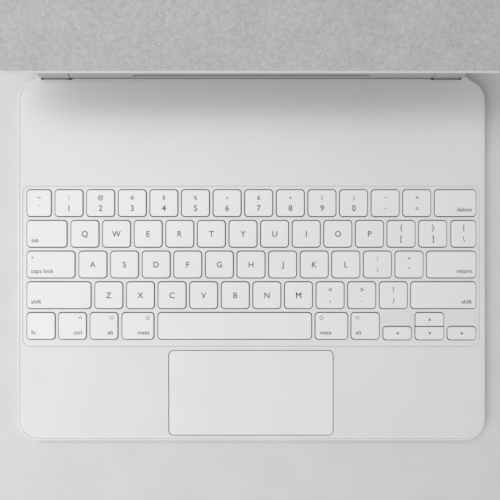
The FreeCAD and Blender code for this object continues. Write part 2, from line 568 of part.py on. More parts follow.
skin_wrap = wrap("FlapSkinWrap", "spine_mid", "spine_outer", dim("spine_half"))
keep(place(fuse("FlapSkin", [skin_flat, skin_wrap]), FLAP_PLACE), "flap_skin")
lining_flat = flap_sheet("FlapLining", "Dims.flap_low", "Dims.flap_core_low", 1.4, YH - 5.2, FLAP_FRONT)
keep(place(lining_flat, FLAP_PLACE), "flap_lining")

# ---- fold pin
pin = cylinder_x("FoldPinRod", "Dims.pin_radius", "Dims.fold_span + 2", "-Dims.fold_span / 2 - 1",
                 "Dims.hinge_y - Dims.flap_length", "Dims.fold_z")
keep(place(group("FoldPin", [pin]), open_placement(PIN_SHUT, PIN_OPEN, SWING)), "fold_pin")

# ---- panel: rimmed skin tray, core, lining; thick in front of the fold, thin behind it
Y_FREE = YP - dim("panel_rise")
Y_LOW = YP + dim("panel_drop")
Y_MID = (Y_FREE + Y_LOW) / 2.0
LONG = Y_LOW - Y_FREE


def panel_slab(name, inset, low, high, radius_cut=0.0):
    return round_box(name, "Dims.deck_width - 2 * %g" % inset, "Dims.panel_rise + Dims.panel_drop - 2 * %g" % inset,
                     "(%s) - (%s)" % (high, low), "0", "%.4f" % Y_MID, low, dim("panel_corner") - inset)


def behind_fold(name, low, width=300.0):
    """Block that trims everything behind the fold groove's front wall above the given height."""
    front = YP - dim("fold_groove")
    return box(name, (width, Y_LOW + 20.0 - front, 10.0), (0, (front + Y_LOW + 20.0) / 2.0), low)


W = dim("panel_wall")
cam_x = dim("camera_x")
cam_y = Y_FREE + dim("camera_from_edge") + dim("camera_size") / 2.0
con_x, con_y = dim("contact_x"), YP - dim("contact_rise")


def camera_hole(name, grow=0.0):
    return round_box(name, "Dims.camera_size + 2 * %g" % grow, "Dims.camera_size + 2 * %g" % grow, "12", "Dims.camera_x",
                     "%.4f" % cam_y, "10", dim("camera_corner") + grow)


def contact_room(name, low, high, grow):
    return round_box(name, "Dims.contact_width + 2 * %g" % grow, "Dims.contact_depth + 2 * %g" % grow,
                     "%.4f" % (high - low), "Dims.contact_x", "%.4f" % con_y, "%.4f" % low,
                     dim("contact_depth") / 2.0 + grow - 0.05)


CORE_TOP = dim("flap_skin_low")
# skin: outer block, stepped behind the fold, hollowed for core and lining
skin_block = panel_slab("PanelSkinBlock", 0.0, "Dims.panel_low", "Dims.cover_top")
skin_eased = fillet("PanelSkinEased", skin_block, 0.45, lambda e: at_height(dim("panel_low"))(e) or at_height(dim("cover_top"))(e))
skin_room_front = panel_slab("PanelRoom", W, "Dims.panel_low - 1", "Dims.flap_skin_low")
skin_step = behind_fold("PanelSkinStep", dim("panel_step"))
groove = box("PanelSkinGroove", (300.0, 2 * dim("fold_groove"), 10.0), (0, YP), dim("panel_core_step"))
roof = behind_fold("PanelRoofBlock", dim("panel_core_step"))
room_low = cut("PanelRoomStepped", skin_room_front, roof)
skin_tools = fuse("PanelSkinTools", [room_low, skin_step, groove, camera_hole("CameraHoleSkin")])
keep(place(cut("PanelSkin", skin_eased, skin_tools), PANEL_PLACE), "panel_skin")

core_block = panel_slab("PanelCoreBlock", W, "Dims.panel_core_low", "Dims.flap_skin_low")
core_stepped = cut("PanelCoreStepped", core_block, behind_fold("PanelCoreStep", dim("panel_core_step")))
panel_knuckles = knuckle_row("PanelKnuckle", panel_segments, YP - dim("fold_groove") - 0.5, YP, dim("panel_step") + 0.1,
                             dim("flap_skin_low"))
core_solid = fuse("PanelCoreSolid", [core_stepped] + panel_knuckles)
MAG = [(sx * x, y, w, d) for sx in (-1, 1) for x, y, w, d in
       ((60.0, Y_FREE + 12.0, 60.0, 6.0), (124.0, Y_FREE + 79.0, 8.0, 40.0), (70.0, Y_LOW - 12.0, 60.0, 6.0),
        (62.0, YP - 40.0, 44.0, 6.0))]
mag_rooms = [box("MagnetRoom%d" % i, (w + 0.2, d + 0.2, 1.3), (x, y), 13.6) for i, (x, y, w, d) in enumerate(MAG)
             if dim("panel_core_step") > 14.0 and y < YP - 5] + \
            [box("MagnetRoomThin%d" % i, (w + 0.2, d + 0.2, 0.7), (x, y), 13.6) for i, (x, y, w, d) in enumerate(MAG) if y > YP]
core_tools = fuse("PanelCoreTools", mag_rooms + [
    camera_hole("CameraHoleCore", 0.8), contact_room("ContactRoomCore", 13.0, 15.4, 0.05),
    cylinder_x("PanelBore", "Dims.pin_radius + Dims.pin_play", "Dims.fold_span + 10", "-Dims.fold_span / 2 - 5",
               "Dims.hinge_y - Dims.flap_length", "Dims.fold_z")])
keep(place(cut("PanelCore", core_solid, core_tools), PANEL_PLACE), "panel_core")
lining_block = panel_slab("PanelLiningBlock", W + 0.1, "Dims.panel_low + 0.04", "Dims.panel_core_low")
lining_tools = fuse("PanelLiningTools", [camera_hole("CameraHoleLining", 0.8), contact_room("ContactRoomLining", 12.0, 15.0, 0.05)])
keep(place(cut("PanelLining", lining_block, lining_tools), PANEL_PLACE), "panel_lining")
magnets = [box("Magnet%d" % i, (w, d, 1.1 if y < YP else 0.5), (x, y), 13.72) for i, (x, y, w, d) in enumerate(MAG)]
keep(place(group("PanelMagnets", magnets), PANEL_PLACE), "panel_magnets")

# ---- contact block with three sprung pins
block = contact_room("ContactBlockSolid", 13.16, 15.36, 0.0)
pin_x = [con_x + k * dim("contact_pitch") for k in (-1, 0, 1)]
pin_rooms = fuse("ContactPinRooms", [cylinder_z("ContactPinRoom%d" % i, "Dims.contact_pin_radius + Dims.contact_play", "3",
                                                "%.4f" % x, "%.4f" % con_y, "11.9") for i, x in enumerate(pin_x)])
keep(place(cut("ContactBlock", block, pin_rooms), PANEL_PLACE), "contact_block")
pins = []
for i, x in enumerate(pin_x):
    c = cylinder_z("ContactPinRound%d" % i, "Dims.contact_pin_radius", "1.7", "%.4f" % x, "%.4f" % con_y, "12.85")
    pins.append(fillet("ContactPin%d" % i, c, 0.3, lambda e: isinstance(e.Curve, Part.Circle)
                       and abs(e.Vertexes[0].Point.z - 12.85) < 1e-6))
keep(place(group("ContactPins", pins), PANEL_PLACE), "contact_pins")

# ================================================================ keycaps as nodes
SINGLE = list("qwertyuiopasdfghjklzxcvbnm") + ["space", "return", "delete", "tab", "caps_lock", "shift_left", "shift_right"]
SYMBOLS = ["grave", "1", "2", "3", "4", "5", "6", "7", "8", "9", "0", "minus", "equals", "bracket_left",
           "bracket_right", "backslash", "semicolon", "quote", "comma", "period", "slash"]
MODIFIERS = ["function", "control", "option_left", "command_left", "command_right", "option_right"]
ARROW_KEYS = ["arrow_left", "arrow_down", "arrow_right", "arrow_up"]
for name in SINGLE:
    keep(caps[name], "key_" + name)
keep(group("SymbolKeys", [caps[n] for n in SYMBOLS]), "keys_numbers_symbols")
keep(group("ModifierKeys", [caps[n] for n in MODIFIERS]), "keys_modifiers")
keep(group("ArrowKeys", [caps[n] for n in ARROW_KEYS]), "keys_arrows")

# ================================================================ check and write
doc.recompute()
for obj in doc.Objects:
    if "Invalid" in obj.State or "Error" in obj.State:
        raise RuntimeError("failed object: %s %s" % (obj.Name, obj.State))
for label, obj in PARTS.items():
    if obj.Shape.isNull() or not obj.Shape.isValid() or not obj.Shape.Solids:
        raise RuntimeError("bad shape: " + label)
os.makedirs("parts", exist_ok=True)
for label, obj in PARTS.items():
    obj.Shape.exportStep("parts/%s.step" % label)
print("%d sub-parts, pin when open at Y %.3f Z %.3f" % (len(PARTS), PIN_OPEN.y, PIN_OPEN.z))
for label, obj in PARTS.items():
    bb = obj.Shape.BoundBox
    print("%-22s solids %2d vol %9.1f  x %7.1f..%6.1f y %7.1f..%6.1f z %6.2f..%6.2f"
          % (label, len(obj.Shape.Solids), obj.Shape.Volume, bb.XMin, bb.XMax, bb.YMin, bb.YMax, bb.ZMin, bb.ZMax))
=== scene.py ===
import bpy
import bmesh
import math
from mathutils import Matrix, Vector, geometry


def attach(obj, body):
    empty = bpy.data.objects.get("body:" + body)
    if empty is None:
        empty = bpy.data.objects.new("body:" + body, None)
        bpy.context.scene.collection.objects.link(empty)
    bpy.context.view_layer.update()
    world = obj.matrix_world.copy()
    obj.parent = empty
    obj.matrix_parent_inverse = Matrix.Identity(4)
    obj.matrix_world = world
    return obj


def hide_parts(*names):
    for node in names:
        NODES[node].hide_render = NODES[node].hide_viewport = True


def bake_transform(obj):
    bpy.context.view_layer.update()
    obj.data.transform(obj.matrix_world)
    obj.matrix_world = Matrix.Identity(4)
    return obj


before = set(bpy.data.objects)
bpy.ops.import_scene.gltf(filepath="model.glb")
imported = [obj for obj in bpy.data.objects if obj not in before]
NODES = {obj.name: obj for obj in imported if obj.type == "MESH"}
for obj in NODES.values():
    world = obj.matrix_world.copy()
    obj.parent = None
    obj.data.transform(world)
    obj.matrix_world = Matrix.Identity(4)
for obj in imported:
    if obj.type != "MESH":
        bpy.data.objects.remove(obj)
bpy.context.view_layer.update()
MM = 0.001

# ------------------------------------------------------------------ shared numbers (mm, the CAD frame)
YH, ZH = 114.5, 9.0
FLAP_LEN, FOLD_Z = 82.0, 16.4
SWING, TURN = -100.0, -126.5
YP, ZP = YH - FLAP_LEN, FOLD_Z


def rot_x(deg):
    return Matrix.Rotation(math.radians(deg), 4, "X")


def about(centre, deg):
    return Matrix.Translation(centre) @ rot_x(deg) @ Matrix.Translation(-Vector(centre))


HINGE = Vector((0, YH, ZH))
PIN_SHUT = Vector((0, YP, ZP))
FLAP_M = about(HINGE, SWING)
PIN_OPEN = FLAP_M @ PIN_SHUT
PANEL_M = Matrix.Translation(PIN_OPEN) @ rot_x(TURN) @ Matrix.Translation(-PIN_SHUT)
Y_FREE, Y_LOW = YP - 141.1, YP + 58.2


# ------------------------------------------------------------------ materials
def new_mat(name):
    m = bpy.data.materials.new(name)
    m.use_nodes = True
    nt = m.node_tree
    b = nt.nodes["Principled BSDF"]
    return m, nt, b


def coords(nt):
    return nt.nodes.new("ShaderNodeTexCoord").outputs["Object"]


def noise(nt, vec, scale, detail=2.0, rough=0.5, distortion=0.0):
    n = nt.nodes.new("ShaderNodeTexNoise")
    n.inputs["Scale"].default_value = scale
    n.inputs["Detail"].default_value = detail
    n.inputs["Roughness"].default_value = rough
    n.inputs["Distortion"].default_value = distortion
    nt.links.new(vec, n.inputs["Vector"])
    return n.outputs["Fac"]


def voronoi(nt, vec, scale, feature="F1"):
    n = nt.nodes.new("ShaderNodeTexVoronoi")
    n.feature = feature
    n.inputs["Scale"].default_value = scale
    nt.links.new(vec, n.inputs["Vector"])
    return n.outputs["Distance"]


def ramp(nt, fac, stops):
    r = nt.nodes.new("ShaderNodeValToRGB")
    els = r.color_ramp.elements
    while len(els) > 1:
        els.remove(els[-1])
    els[0].position, els[0].color = stops[0][0], (*stops[0][1], 1)
    for p, c in stops[1:]:
        e = els.new(p)
        e.color = (*c, 1)
    nt.links.new(fac, r.inputs["Fac"])
    return r.outputs["Color"]


def remap(nt, fac, lo, hi):
    n = nt.nodes.new("ShaderNodeMapRange")
    n.inputs["To Min"].default_value = lo
    n.inputs["To Max"].default_value = hi
    nt.links.new(fac, n.inputs["Value"])
    return n.outputs["Result"]


def bump(nt, bsdf, heights):
    """Chain of bumps: list of (height socket, strength, distance in metres)."""
    last = None
    for h, s, d in heights:
        n = nt.nodes.new("ShaderNodeBump")
        n.inputs["Strength"].default_value = s
        n.inputs["Distance"].default_value = d
        nt.links.new(h, n.inputs["Height"])
        if last:
            nt.links.new(last, n.inputs["Normal"])
        last = n.outputs["Normal"]
    nt.links.new(last, bsdf.inputs["Normal"])


def shade(c, k):
    return tuple(min(1.0, v * k) for v in c)


def skin_material(name, colour, rough=0.5, grain=1.0, pebble=900.0, mottle=0.02, sheen=0.12):
    """Soft moulded or coated skin: fine irregular pebble, faint mottling, satin sheen."""
    m, nt, b = new_mat(name)
    v = coords(nt)
    big = noise(nt, v, 18.0, 3.0, 0.55)
    nt.links.new(ramp(nt, big, [(0.3, shade(colour, 1 - mottle)), (0.7, shade(colour, 1 + mottle))]), b.inputs["Base Color"])
    fine = noise(nt, v, pebble * 2.2, 2.0, 0.6)
    nt.links.new(remap(nt, fine, rough - 0.06, rough + 0.06), b.inputs["Roughness"])
    peb = voronoi(nt, v, pebble, "SMOOTH_F1")
    bump(nt, b, [(peb, 0.16 * grain, 0.0002), (fine, 0.10 * grain, 0.0001)])
    b.inputs["Sheen Weight"].default_value = sheen
    b.inputs["Sheen Roughness"].default_value = 0.6
    b.inputs["Specular IOR Level"].default_value = 0.42
    return m


def plastic_material(name, colour, rough=0.42, grain=1.0, scale=1600.0, mottle=0.012, coat=0.0):
    m, nt, b = new_mat(name)
    v = coords(nt)
    big = noise(nt, v, 30.0, 2.0, 0.5)
    nt.links.new(ramp(nt, big, [(0.3, shade(colour, 1 - mottle)), (0.7, shade(colour, 1 + mottle))]), b.inputs["Base Color"])
    fine = noise(nt, v, scale, 3.0, 0.6)
    nt.links.new(remap(nt, fine, rough - 0.05, rough + 0.07), b.inputs["Roughness"])
    bump(nt, b, [(fine, 0.10 * grain, 0.00008)])
    b.inputs["Specular IOR Level"].default_value = 0.45
    b.inputs["Coat Weight"].default_value = coat
    return m


def metal_material(name, colour, rough=0.33, stretch=(1, 1, 1), scale=900.0, strength=0.12, metal=1.0):
    m, nt, b = new_mat(name)
    mp = nt.nodes.new("ShaderNodeMapping")
    mp.inputs["Scale"].default_value = stretch
    nt.links.new(coords(nt), mp.inputs["Vector"])
    fine = noise(nt, mp.outputs["Vector"], scale, 3.0, 0.6)
    big = noise(nt, mp.outputs["Vector"], 22.0, 2.0, 0.5)
    nt.links.new(ramp(nt, big, [(0.25, shade(colour, 0.96)), (0.75, shade(colour, 1.03))]), b.inputs["Base Color"])
    nt.links.new(remap(nt, fine, rough - 0.07, rough + 0.08), b.inputs["Roughness"])
    bump(nt, b, [(fine, strength, 0.00006)])
    b.inputs["Metallic"].default_value = metal
    return m


def lining_material(name, colour, fuzz=1.0):
    """Brushed microfibre: short directionless nap, cloudy tone, soft sheen."""
    m, nt, b = new_mat(name)
    v = coords(nt)
    cloud = noise(nt, v, 45.0, 4.0, 0.6, 0.4)
    fibre = noise(nt, v, 1500.0, 4.0, 0.75, 1.2)
    clump = noise(nt, v, 420.0, 3.0, 0.6, 0.6)
    mix = nt.nodes.new("ShaderNodeMath")
    mix.operation = "MULTIPLY_ADD"
    mix.inputs[1].default_value = 0.55
    nt.links.new(fibre, mix.inputs[0])
    half = nt.nodes.new("ShaderNodeMath")
    half.operation = "MULTIPLY_ADD"
    half.inputs[1].default_value = 0.30
    nt.links.new(clump, half.inputs[0])
    quarter = nt.nodes.new("ShaderNodeMath")
    quarter.operation = "MULTIPLY"
    quarter.inputs[1].default_value = 0.15
    nt.links.new(cloud, quarter.inputs[0])
    nt.links.new(quarter.outputs[0], half.inputs[2])
    nt.links.new(half.outputs[0], mix.inputs[2])
    nt.links.new(ramp(nt, mix.outputs[0], [(0.38, shade(colour, 0.78)), (0.5, colour), (0.62, shade(colour, 1.20))]),
                 b.inputs["Base Color"])
    b.inputs["Roughness"].default_value = 0.92
    b.inputs["Sheen Weight"].default_value = 0.35
    b.inputs["Sheen Roughness"].default_value = 0.5
    b.inputs["Specular IOR Level"].default_value = 0.2
    bump(nt, b, [(clump, 0.30 * fuzz, 0.0003), (fibre, 0.35 * fuzz, 0.0002)])
    return m


def board_material(name, colour):
    m, nt, b = new_mat(name)
    v = coords(nt)
    w = nt.nodes.new("ShaderNodeTexWave")
    w.inputs["Scale"].default_value = 240.0
    w.inputs["Distortion"].default_value = 6.0
    w.inputs["Detail"].default_value = 3.0
    nt.links.new(v, w.inputs["Vector"])
    nt.links.new(ramp(nt, w.outputs["Fac"], [(0.45, colour), (0.6, shade(colour, 1.5))]), b.inputs["Base Color"])
    b.inputs["Roughness"].default_value = 0.35
    bump(nt, b, [(w.outputs["Fac"], 0.15, 0.0001)])
    return m


M = {
    "shell": skin_material("shell_white", (0.765, 0.768, 0.77), 0.52, 0.8, 1100.0),
    "deck": skin_material("deck_white", (0.745, 0.748, 0.748), 0.5, 0.45, 1300.0),
    "bezel": skin_material("bezel_white", (0.745, 0.748, 0.75), 0.48, 0.35, 1300.0),
    "pad": plastic_material("trackpad_white", (0.785, 0.788, 0.79), 0.36, 0.5, 2400.0),
    "key": plastic_material("key_white", (0.80, 0.805, 0.81), 0.40, 0.8, 1900.0),
    "legend": plastic_material("legend_grey", (0.125, 0.125, 0.13), 0.6, 0.5),
    "skin": skin_material("cover_skin_white", (0.78, 0.78, 0.77), 0.55, 1.3, 750.0),
    "lining": lining_material("lining_grey", (0.56, 0.56, 0.555)),
    "alu": metal_material("hinge_metal", (0.60, 0.605, 0.615), 0.40, (0.15, 1, 1), 1200.0, 0.12, 0.55),
    "steel": metal_material("steel_plain", (0.56, 0.56, 0.57), 0.28, (1, 0.2, 1), 900.0),
    "magnet": metal_material("magnet_metal", (0.45, 0.45, 0.47), 0.3),
    "gold": metal_material("contact_gold", (0.83, 0.62, 0.30), 0.22),
    "contact": plastic_material("contact_plastic", (0.42, 0.42, 0.43), 0.45, 0.6),
    "membrane": plastic_material("membrane_rubber", (0.30, 0.30, 0.30), 0.7, 1.2, 900.0, 0.04),
    "scissor": plastic_material("scissor_plastic", (0.45, 0.45, 0.45), 0.5, 0.8),
    "board": board_material("board_green", (0.02, 0.09, 0.05)),
    "core": plastic_material("core_board", (0.60, 0.60, 0.59), 0.6, 1.0, 500.0, 0.05),
    "dark": plastic_material("switch_plastic", (0.03, 0.03, 0.032), 0.45, 0.8),
    "lamp": plastic_material("indicator_lens", (0.10, 0.11, 0.10), 0.25, 0.2),
}
CAD_MATERIAL = {
    "base_shell": "shell", "deck_top": "deck", "key_bezel": "bezel", "trackpad_plate": "pad", "key_backplate": "steel",
    "backplate_screws": "steel", "dome_sheet": "membrane", "scissor_frames": "scissor", "logic_board": "board",
    "charging_socket": "steel", "hinge_knuckles": "alu", "hinge_barrel": "alu", "hinge_shafts": "steel", "flap_core": "core",
    "flap_skin": "skin", "flap_lining": "lining", "fold_pin": "steel", "panel_core": "core", "panel_skin": "skin",
    "panel_lining": "lining", "panel_magnets": "magnet", "contact_block": "contact", "contact_pins": "gold",
    "trackpad_switch": "dark",
}
for node_name, node_obj in NODES.items():
    mat = M[CAD_MATERIAL.get(node_name, "key")]
    if not node_obj.data.materials:
        node_obj.data.materials.append(mat)
    for i in range(len(node_obj.data.materials)):
        node_obj.data.materials[i] = mat
    for s in node_obj.material_slots:
        s.material = mat


# ------------------------------------------------------------------ mesh building
def rrect(w, h, r, cx=0.0, cy=0.0, n=10):
    """Counter-clockwise rounded rectangle. r is one radius or four: right-low, right-high, left-high, left-low."""
    rs = [r] * 4 if not hasattr(r, "__len__") else list(r)
    pts = []
    for k, (sx, sy, a0) in enumerate(((1, -1, -90), (1, 1, 0), (-1, 1, 90), (-1, -1, 180))):
        rad = max(rs[k], 0.02)
        ox, oy = cx + sx * (w / 2 - rad), cy + sy * (h / 2 - rad)
        for i in range(n + 1):
            a = math.radians(a0 + 90.0 * i / n)
            pts.append((ox + rad * math.cos(a), oy + rad * math.sin(a)))
    return pts


def ring_of(shape, d, n=10):
    """shape (cx, cy, w, h, r); d insets an outer outline and a negative d widens it."""
    cx, cy, w, h, r = shape
    rs = [r] * 4 if not hasattr(r, "__len__") else list(r)
    return rrect(w - 2 * d, h - 2 * d, [max(q - d, 0.04) for q in rs], cx, cy, n)


def arc_profile(d0, z0, r, start, end, steps):
    """Quarter rounds in (inset, z)."""
    return [(d0 + r * math.cos(math.radians(start + (end - start) * i / steps)),
             z0 + r * math.sin(math.radians(start + (end - start) * i / steps))) for i in range(steps + 1)]


class Build:
    def __init__(self):
        self.bm = bmesh.new()

    def ring(self, pts, z):
        return [self.bm.verts.new((x, y, z)) for x, y in pts]

    def skin(self, a, b, flip=False, mat=0):
        n = len(a)
        for i in range(n):
            j = (i + 1) % n
            q = (a[i], a[j], b[j], b[i]) if not flip else (a[i], b[i], b[j], a[j])
            f = self.bm.faces.new(q)
            f.material_index = mat
            f.smooth = True

    def cap(self, loop, up=True, mat=0):
        f = self.bm.faces.new(loop if up else list(reversed(loop)))
        f.material_index = mat
        f.smooth = True
        return f

    def fill(self, loops, up=True, mat=0):
        """Flat face with holes: first loop is the outside."""
        flat = [v for lp in loops for v in lp]
        tris = geometry.tessellate_polygon([[Vector((v.co.x, v.co.y, 0)) for v in lp] for lp in loops])
        for t in tris:
            vs = [flat[i] for i in t]
            a = (vs[1].co - vs[0].co).cross(vs[2].co - vs[0].co)
            if (a.z > 0) != up:
                vs.reverse()
            try:
                f = self.bm.faces.new(vs)
                f.material_index = mat
                f.smooth = True
            except ValueError:
                pass

    def obj(self, name, mats, matrix=None, weld=0.0):
        bm = self.bm
        if weld:
            bmesh.ops.remove_doubles(bm, verts=bm.verts, dist=weld)
        bmesh.ops.recalc_face_normals(bm, faces=bm.faces)
        me = bpy.data.meshes.new(name)
        bm.to_mesh(me)
        bm.free()
        if matrix is not None:
            me.transform(matrix)
        me.transform(Matrix.Scale(MM, 4))
        for m in mats:
            me.materials.append(M[m] if isinstance(m, str) else m)
        ob = bpy.data.objects.new(name, me)
        bpy.context.scene.collection.objects.link(ob)
        return ob


def weighted(ob, angle=35.0):
    """Flat faces stay flat next to small rounds."""
    me = ob.data
    for p in me.polygons:
        p.use_smooth = True
    try:
        me.set_sharp_from_angle(angle=math.radians(angle))
    except AttributeError:
        pass
    w = ob.modifiers.new("normals", "WEIGHTED_NORMAL")
    w.mode = "FACE_AREA_WITH_ANGLE"
    w.weight = 80
    w.keep_sharp = True
    return ob


def finish_piece(ob, body, nodes=(), angle=35.0):
    weighted(ob, angle)
    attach(ob, body)
    if nodes:
        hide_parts(*nodes)
    return ob


def plate(outer, holes, z0, z1, e_top, e_low, hole_top=None, hole_low=None, n=10, hole_n=6, steps=4):
    """Flat plate with rounded edges outside and in its holes; returns a Build."""
    b = Build()
    ht = e_top if hole_top is None else hole_top
    hl = e_low if hole_low is None else hole_low

    def walls(shape, et, el, outside, nn):
        sign = 1 if outside else -1
        prof = []
        prof += [(el - el * math.sin(math.radians(90 * i / steps)), z0 + el - el * math.cos(math.radians(90 * i / steps)))
                 for i in range(steps + 1)]
        prof += [(et - et * math.cos(math.radians(90 * i / steps)), z1 - et + et * math.sin(math.radians(90 * i / steps)))
                 for i in range(steps + 1)]
        rings = [b.ring(ring_of(shape, sign * d, nn), z) for d, z in prof]
        for a, c in zip(rings, rings[1:]):
            b.skin(a, c, flip=not outside)
        return rings[0], rings[-1]

    lows, tops = [], []
    lo, hi = walls(outer, e_top, e_low, True, n)
    lows.append(lo)
    tops.append(hi)
    for hshape in holes:
        lo, hi = walls(hshape, ht, hl, False, hole_n)
        lows.append(lo)
        tops.append(hi)
    b.fill(tops, up=True)
    b.fill(lows, up=False)
    return b


def apply_boolean(ob, cutter, op="DIFFERENCE"):
    md = ob.modifiers.new("bool", "BOOLEAN")
    md.operation = op
    md.solver = "EXACT"
    md.object = cutter
    bpy.context.view_layer.update()
    dg = bpy.context.evaluated_depsgraph_get()
    me = bpy.data.meshes.new_from_object(ob.evaluated_get(dg))
    ob.modifiers.clear()
    old = ob.data
    ob.data = me
    bpy.data.meshes.remove(old)
    bpy.data.objects.remove(cutter)
    return ob


def tube_x(radius, x0, x1, ease0, ease1, yc, zc, n=96, steps=5):
    """Round bar along X with eased ends."""
    b = Build()
    stations = []
    for i in range(steps + 1):
        a = math.radians(90 * i / steps)
        stations.append((x0 + ease0 * (1 - math.sin(a)), radius - ease0 * (1 - math.cos(math.pi / 2 - a))))
    stations = [(x0 + ease0 - ease0 * math.sin(math.radians(90 - 90 * i / steps)),
                 radius - ease0 + ease0 * math.cos(math.radians(90 - 90 * i / steps))) for i in range(steps + 1)]
    tail = [(x1 - ease1 + ease1 * math.sin(math.radians(90 * i / steps)),
             radius - ease1 + ease1 * math.cos(math.radians(90 * i / steps))) for i in range(steps + 1)]
    rings = []
    for x, r in stations + tail:
        rings.append([b.bm.verts.new((x, yc + r * math.cos(2 * math.pi * k / n), zc + r * math.sin(2 * math.pi * k / n)))
                      for k in range(n)])
    for a, c in zip(rings, rings[1:]):
        b.skin(a, c)
    b.cap(rings[0], up=False)
    b.cap(rings[-1], up=True)
    return b


def block(shape, z0, z1, n=6, matrix=None, name="cutter"):
    b = Build()
    lo = b.ring(ring_of(shape, 0.0, n), z0)
    hi = b.ring(ring_of(shape, 0.0, n), z1)
    b.skin(lo, hi)
    b.cap(lo, up=False)
    b.cap(hi, up=True)
    return b.obj(name, [], matrix)


# ------------------------------------------------------------------ key layout (mm)
PITCH_X, PITCH_Y, FIELD_LEFT, ROW_H, GAP = 19.0, 18.45, -134.9, 16.25, 0.45
ROW_TOP = [42.4 - i * PITCH_Y for i in range(5)]


def run_of(names, start):
    return [(n, start + i * PITCH_X, start + i * PITCH_X + 16.9) for i, n in enumerate(names)]


ROWS = [
    [("grave", 0.0, 14.8)] + run_of(["1", "2", "3", "4", "5", "6", "7", "8", "9", "0", "minus", "equals"], 16.9)
    + [("delete", 244.95, 269.9)],
    [("tab", 0.0, 24.2)] + run_of(list("qwertyuiop") + ["bracket_left", "bracket_right"], 26.45) + [("backslash", 254.85, 269.9)],
    [("caps_lock", 0.0, 29.0)] + run_of(list("asdfghjkl") + ["semicolon", "quote"], 31.25) + [("return", 240.2, 269.9)],
    [("shift_left", 0.0, 38.6)] + run_of(list("zxcvbnm") + ["comma", "period", "slash"], 40.8) + [("shift_right", 230.7, 269.9)],
    [("function", 0.0, 17.1), ("control", 18.9, 35.9), ("option_left", 37.9, 54.8), ("command_left", 57.1, 76.4),
     ("space", 78.7, 171.2), ("command_right", 173.2, 192.9), ("option_right", 194.8, 211.9)],
]
KEYS = []
for r_i, row in enumerate(ROWS):
    for name, a, b_ in row:
        KEYS.append((name, FIELD_LEFT + a, FIELD_LEFT + b_, ROW_TOP[r_i], ROW_TOP[r_i] - ROW_H))
SPLIT, FOOT = ROW_TOP[4] - 8.4, ROW_TOP[4] - 16.6
for name, a, b_, hi in (("arrow_left", 214.0, 231.2, 0), ("arrow_down", 233.3, 250.6, 0), ("arrow_right", 252.6, 269.9, 0),
                        ("arrow_up", 233.3, 250.6, 1)):
    KEYS.append((name, FIELD_LEFT + a, FIELD_LEFT + b_, ROW_TOP[4] if hi else SPLIT, SPLIT if hi else FOOT))
SYMBOLS = ["grave", "1", "2", "3", "4", "5", "6", "7", "8", "9", "0", "minus", "equals", "bracket_left", "bracket_right",
           "backslash", "semicolon", "quote", "comma", "period", "slash"]
MODIFIERS = ["function", "control", "option_left", "command_left", "command_right", "option_right"]


def node_of(key):
    if key in SYMBOLS:
        return "keys_numbers_symbols"
    if key in MODIFIERS:
        return "keys_modifiers"
    if key.startswith("arrow"):
        return "keys_arrows"
    return "key_" + key


# ------------------------------------------------------------------ lettering: flat ink shapes, generic legends
_glyph = {}


def text_shapes(body):
    """Triangles and bounds of a short text at size 1, from the built-in font."""
    if body in _glyph:
        return _glyph[body]
    cu = bpy.data.curves.new("glyph", "FONT")
    cu.body = body
    cu.size = 1.0
    cu.resolution_u = 5
    cu.offset = 0.0 if body in ("M", "4") else 0.010
    ob = bpy.data.objects.new("glyph", cu)
    bpy.context.scene.collection.objects.link(ob)
    bpy.context.view_layer.update()
    me = bpy.data.meshes.new_from_object(ob.evaluated_get(bpy.context.evaluated_depsgraph_get()))
    bpy.data.objects.remove(ob)
    bpy.data.curves.remove(cu)
    vs = [(v.co.x, v.co.y) for v in me.vertices]
    fs = [tuple(p.vertices) for p in me.polygons]
    bpy.data.meshes.remove(me)
    if body in ("M", "4"):      # these two fill in when they are swelled, so they are thickened by copies
        n, base_vs, base_fs = len(vs), list(vs), list(fs)
        vs, fs = [], []
        for c, (dx, dy) in enumerate(((-0.005, 0), (0.005, 0), (0, -0.005), (0, 0.005))):
            vs += [(px + dx, py + dy) for px, py in base_vs]
            fs += [tuple(i + c * n for i in f) for f in base_fs]
    xs, ys = [p[0] for p in vs], [p[1] for p in vs]
    _glyph[body] = (vs, fs, min(xs), max(xs), min(ys), max(ys))
    return _glyph[body]


CAP_H = text_shapes("H")[5]


def ink_text(b, body, x, y, cap, align="C", anchor="base", z=0.0, mat=1, wide=1.0):
    """Adds a text as flat ink. cap is the height of a capital; anchor base puts the baseline at y, mid centres it."""
    vs, fs, x0, x1, y0, y1 = text_shapes(body)
    k = cap / CAP_H
    kx = k * wide
    ox = {"C": x - kx * (x0 + x1) / 2, "L": x - kx * x0, "R": x - kx * x1}[align]
    oy = y - (k * (y0 + y1) / 2 if anchor == "mid" else 0.0)
    verts = [b.bm.verts.new((ox + kx * px, oy + k * py, z)) for px, py in vs]
    for f in fs:
        try:
            face = b.bm.faces.new([verts[i] for i in f])
            face.material_index = mat
            if face.calc_area() > 0 and face.normal.z < 0:
                face.normal_flip()
        except ValueError:
            pass


def ink_poly(b, pts, z, mat=1):
    f = b.bm.faces.new([b.bm.verts.new((x, y, z)) for x, y in pts])
    f.material_index = mat


def ink_ring(b, cx, cy, r, w, z, n=28, mat=1):
    a = [b.bm.verts.new((cx + r * math.cos(2 * math.pi * i / n), cy + r * math.sin(2 * math.pi * i / n), z)) for i in range(n)]
    c = [b.bm.verts.new((cx + (r - w) * math.cos(2 * math.pi * i / n), cy + (r - w) * math.sin(2 * math.pi * i / n), z))
         for i in range(n)]
    b.skin(a, c, mat=mat)


